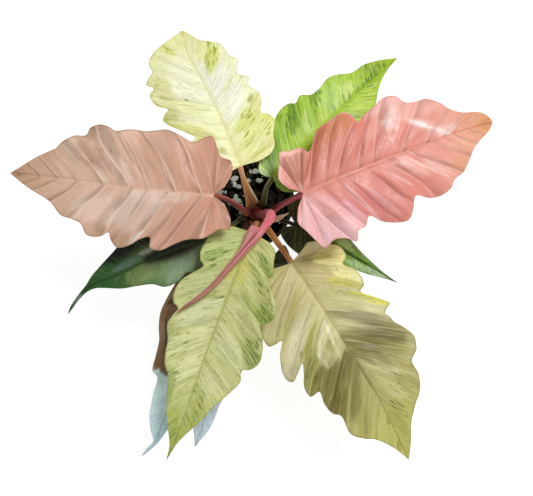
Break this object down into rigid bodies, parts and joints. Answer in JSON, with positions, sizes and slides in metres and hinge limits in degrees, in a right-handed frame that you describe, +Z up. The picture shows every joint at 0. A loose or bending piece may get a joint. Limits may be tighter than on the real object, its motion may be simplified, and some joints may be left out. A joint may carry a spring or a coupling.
{
  "type": "potted strawberry marble philodendron",
  "caption": "Leafy aroid house plant in a plain black nursery pot, with large lobed leaves in pink, cream, lime and dark green and a furled new leaf.",
  "frame": {"origin": "centre of the pot's flat bottom", "axes": "+Z up, along the pot's axis; +Y towards the cream leaf, +X towards the rose leaf"},
  "size_m": [0.5021, 0.4544, 0.261],
  "materials": {
    "pot_plastic": "matte black moulded plastic",
    "potting_mix": "dark moist peat and bark with white perlite grains",
    "stem": "ringed olive brown green stem",
    "petiole_red": "smooth dark red to brown stalk",
    "petiole_tan": "smooth orange tan stalk with a pale sheath",
    "petiole_olive": "smooth olive green stalk",
    "leaf_dusty_pink": "waxy dusty pink leaf",
    "leaf_cream": "waxy cream leaf with faint green streaks",
    "leaf_lime": "waxy lime green leaf with darker marbling",
    "leaf_rose": "glossy rose pink leaf with orange tan veins and tip",
    "leaf_pale_green": "waxy pale yellow green leaf with green streaks",
    "leaf_olive": "waxy cream and olive leaf with a brown cast",
    "leaf_dark_green": "satin dark green leaf",
    "leaf_bronze": "satin bronze leaf with a pale blue grey end",
    "leaf_glaucous": "matte pale blue grey leaf",
    "furled_pink": "glossy pink red rolled leaf",
    "bract": "papery tan bract"
  },
  "bodies": {
    "root": {"pot": "pot_plastic", "soil": "potting_mix", "stem": "stem", "leaf_dusty_pink": "leaf_dusty_pink", "petiole_dusty_pink": "petiole_red", "leaf_cream": "leaf_cream", "petiole_cream": "petiole_tan", "leaf_lime": "leaf_lime", "petiole_lime": "petiole_olive", "leaf_rose": "leaf_rose", "petiole_rose": "petiole_red", "leaf_pale_green": "leaf_pale_green", "petiole_pale_green": "petiole_tan", "leaf_olive": "leaf_olive", "petiole_olive": "petiole_tan", "leaf_dark_left": "leaf_dark_green", "petiole_dark_left": "petiole_olive", "leaf_dark_right": "leaf_dark_green", "petiole_dark_right": "petiole_red", "leaf_bronze": "leaf_bronze", "petiole_bronze": "petiole_red", "leaf_glaucous": "leaf_glaucous", "petiole_glaucous": "petiole_olive", "furled_leaf": "furled_pink", "bract": "bract"}
  },
  "joints": []
}
